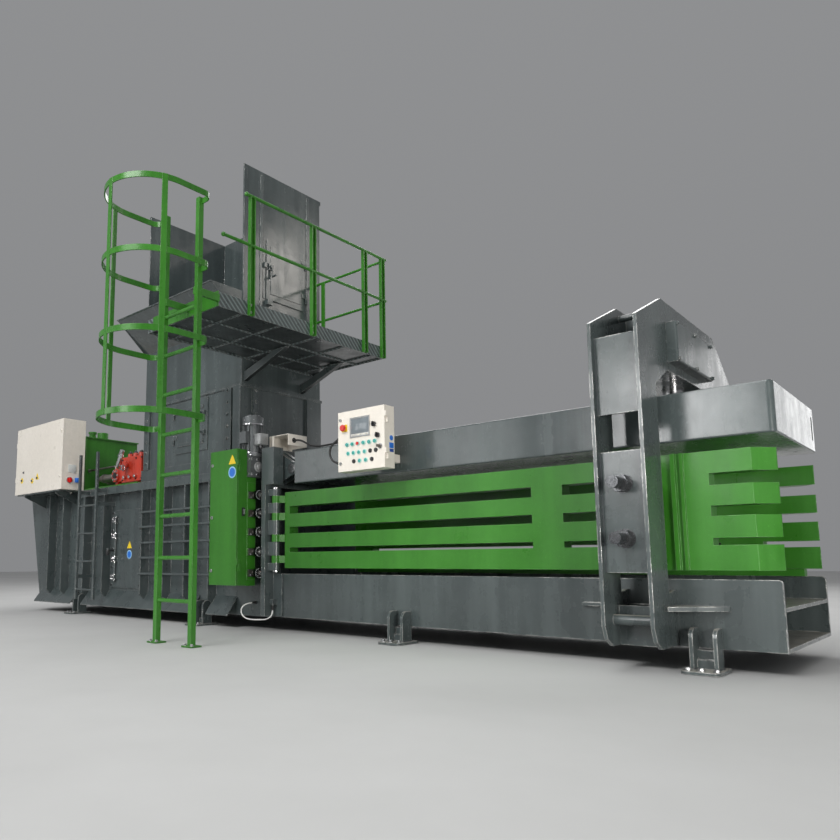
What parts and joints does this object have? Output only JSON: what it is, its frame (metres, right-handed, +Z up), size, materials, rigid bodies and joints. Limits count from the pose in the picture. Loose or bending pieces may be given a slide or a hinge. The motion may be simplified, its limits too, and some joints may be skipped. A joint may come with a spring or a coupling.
{
  "type": "recycling baler",
  "caption": "Horizontal channel baler: feed shaft with hopper, press ram, slotted squeeze channel, tension portal, tying cabinet, caged ladder and platform.",
  "frame": {"origin": "middle of the bounding box, on the floor", "axes": "+X from the ram end to the bale exit, +Y away from the control side, +Z up"},
  "size_m": [8.332, 3.185, 4.4],
  "materials": {
    "green_paint": "satin",
    "grey_paint": "satin",
    "cream_paint": "satin",
    "worn_steel": "satin",
    "bright_pin": "polished",
    "red_paint": "gloss",
    "black_rubber": "matte",
    "white_cable": "matte",
    "black_plastic": "satin",
    "red_plastic": "satin",
    "teal_plastic": "satin"
  },
  "bodies": {
    "frame": {"channel_bed": "grey_paint", "far_wall": "green_paint", "wall_pin": "bright_pin", "beam_pin": "bright_pin", "portal": "grey_paint", "portal_cover": "grey_paint", "squeeze_cylinders": "grey_paint", "feet": "grey_paint", "press_housing": "grey_paint", "press_cylinder": "grey_paint", "feed_shaft": "grey_paint", "hopper": "grey_paint", "door_pins": "bright_pin", "platform": "grey_paint", "guard_rail": "green_paint", "ladder": "green_paint", "ladder_cage": "green_paint", "switch_cabinet": "cream_paint", "oil_tank": "green_paint", "pump_motor": "grey_paint", "valve_block": "red_paint", "steel_pipes": "worn_steel", "tying_cabinet": "green_paint", "gear_motor": "grey_paint", "roller_axles": "worn_steel", "wire_tubes": "grey_paint", "cable_tray": "cream_paint", "loop_cable": "white_cable"},
    "side_wall": {"near_wall": "green_paint"},
    "side_rams": {"side_rods": "bright_pin"},
    "beam": {"top_beam": "grey_paint", "panel_box": "cream_paint", "panel_cable": "black_rubber"},
    "head_ram": {"top_rod": "bright_pin"},
    "press_ram": {"ram": "worn_steel", "ram_rod": "bright_pin"},
    "hatch": {"side_hatch": "grey_paint"},
    "shaft_door": {"inspection_door": "grey_paint"},
    "hopper_door": {"access_door": "grey_paint"},
    "hopper_handle": {"access_handle": "grey_paint"},
    "switch_door": {"cabinet_door": "cream_paint"},
    "isolator": {"main_switch": "red_plastic"},
    "wire_door": {"tying_door": "green_paint"},
    "panel_front": {"panel_door": "cream_paint"},
    "knob_mode": {"mode_knob": "black_plastic"},
    "knob_feed": {"feed_knob": "black_plastic"},
    "key": {"key_switch": "worn_steel"},
    "estop": {"estop_button": "red_plastic"},
    "roller_1": {"guide_roller_1": "worn_steel"},
    "roller_2": {"guide_roller_2": "worn_steel"},
    "roller_3": {"guide_roller_3": "worn_steel"},
    "roller_4": {"guide_roller_4": "worn_steel"},
    "roller_5": {"guide_roller_5": "worn_steel"},
    "push_start": {"button_start": "teal_plastic"},
    "push_feed": {"button_feed": "teal_plastic"},
    "push_stop": {"button_stop": "red_plastic"},
    "push_ram": {"button_ram": "teal_plastic"},
    "push_tie": {"button_tie": "teal_plastic"},
    "push_reset": {"button_reset": "teal_plastic"}
  },
  "joints": [
    {"name": "side_wall_squeeze", "type": "hinge", "parent": "frame", "child": "side_wall", "pos_m": [0.519, 0.1305, 0.83], "axis": [0, 0, 1], "range_deg": [0, 1.2]},
    {"name": "side_ram_slide", "type": "slide", "parent": "frame", "child": "side_rams", "axis": [0, 1, 0], "range_m": [0, 0.06126]},
    {"name": "top_beam_squeeze", "type": "hinge", "parent": "frame", "child": "beam", "pos_m": [0.639, 0.7025, 1.352], "axis": [0, 1, 0], "range_deg": [0, 0.7]},
    {"name": "head_ram_slide", "type": "slide", "parent": "frame", "child": "head_ram", "axis": [0, 0, -1], "range_m": [0, 0.03396]},
    {"name": "press_ram_slide", "type": "slide", "parent": "frame", "child": "press_ram", "axis": [1, 0, 0], "range_m": [0, 1.65]},
    {"name": "side_hatch_hinge", "type": "hinge", "parent": "frame", "child": "hatch", "pos_m": [-1.539, 0.1605, 0.7], "axis": [0, 0, 1], "range_deg": [0, 100]},
    {"name": "inspection_door_hinge", "type": "hinge", "parent": "frame", "child": "shaft_door", "pos_m": [-1.119, 0.2245, 1.9], "axis": [0, 0, -1], "range_deg": [0, 110]},
    {"name": "access_door_hinge", "type": "hinge", "parent": "frame", "child": "hopper_door", "pos_m": [-0.061, 1.0645, 3.4], "axis": [0, 0, 1], "range_deg": [0, 90]},
    {"name": "access_handle_turn", "type": "hinge", "parent": "hopper_door", "child": "hopper_handle", "pos_m": [-0.061, 0.5825, 3.444], "axis": [1, 0, 0], "range_deg": [0, 90]},
    {"name": "cabinet_door_hinge", "type": "hinge", "parent": "frame", "child": "switch_door", "pos_m": [-4.006, -0.0975, 1.8], "axis": [0, 0, -1], "range_deg": [0, 110]},
    {"name": "main_switch_turn", "type": "hinge", "parent": "frame", "child": "isolator", "pos_m": [-2.796, -0.0275, 1.508], "axis": [1, 0, 0], "range_deg": [0, 90]},
    {"name": "tying_door_hinge", "type": "hinge", "parent": "frame", "child": "wire_door", "pos_m": [0.323, -0.1075, 0.95], "axis": [0, 0, 1], "range_deg": [0, 100]},
    {"name": "guide_roller_1_spin", "type": "hinge", "parent": "frame", "child": "roller_1", "pos_m": [0.386, 0.0505, 0.477], "axis": [1, 0, 0], "continuous": true},
    {"name": "guide_roller_2_spin", "type": "hinge", "parent": "frame", "child": "roller_2", "pos_m": [0.386, 0.0505, 0.653], "axis": [1, 0, 0], "continuous": true},
    {"name": "guide_roller_3_spin", "type": "hinge", "parent": "frame", "child": "roller_3", "pos_m": [0.386, 0.0505, 0.82], "axis": [1, 0, 0], "continuous": true},
    {"name": "guide_roller_4_spin", "type": "hinge", "parent": "frame", "child": "roller_4", "pos_m": [0.386, 0.0505, 0.978], "axis": [1, 0, 0], "continuous": true},
    {"name": "guide_roller_5_spin", "type": "hinge", "parent": "frame", "child": "roller_5", "pos_m": [0.386, 0.0505, 1.132], "axis": [1, 0, 0], "continuous": true},
    {"name": "panel_door_hinge", "type": "hinge", "parent": "beam", "child": "panel_front", "pos_m": [1.903, -0.1035, 1.435], "axis": [0, 0, 1], "range_deg": [0, 100]},
    {"name": "mode_knob_turn", "type": "hinge", "parent": "panel_front", "child": "knob_mode", "pos_m": [1.806, -0.1375, 1.528], "axis": [0, 1, 0], "range_deg": [-45, 45]},
    {"name": "feed_knob_turn", "type": "hinge", "parent": "panel_front", "child": "knob_feed", "pos_m": [1.839, -0.1375, 1.446], "axis": [0, 1, 0], "range_deg": [-45, 45]},
    {"name": "key_switch_turn", "type": "hinge", "parent": "panel_front", "child": "key", "pos_m": [1.857, -0.1375, 1.366], "axis": [0, 1, 0], "range_deg": [0, 60]},
    {"name": "estop_push", "type": "slide", "parent": "panel_front", "child": "estop", "axis": [0, 1, 0], "range_m": [0, 0.006]},
    {"name": "button_start_push", "type": "slide", "parent": "panel_front", "child": "push_start", "axis": [0, 1, 0], "range_m": [0, 0.003]},
    {"name": "button_feed_push", "type": "slide", "parent": "panel_front", "child": "push_feed", "axis": [0, 1, 0], "range_m": [0, 0.003]},
    {"name": "button_stop_push", "type": "slide", "parent": "panel_front", "child": "push_stop", "axis": [0, 1, 0], "range_m": [0, 0.003]},
    {"name": "button_ram_push", "type": "slide", "parent": "panel_front", "child": "push_ram", "axis": [0, 1, 0], "range_m": [0, 0.003]},
    {"name": "button_tie_push", "type": "slide", "parent": "panel_front", "child": "push_tie", "axis": [0, 1, 0], "range_m": [0, 0.003]},
    {"name": "button_reset_push", "type": "slide", "parent": "panel_front", "child": "push_reset", "axis": [0, 1, 0], "range_m": [0, 0.003]}
  ],
  "couplings": [
    {"joint": "side_ram_slide", "follows": "side_wall_squeeze", "m_per_rad": 2.925},
    {"joint": "head_ram_slide", "follows": "top_beam_squeeze", "m_per_rad": 2.78}
  ]
}
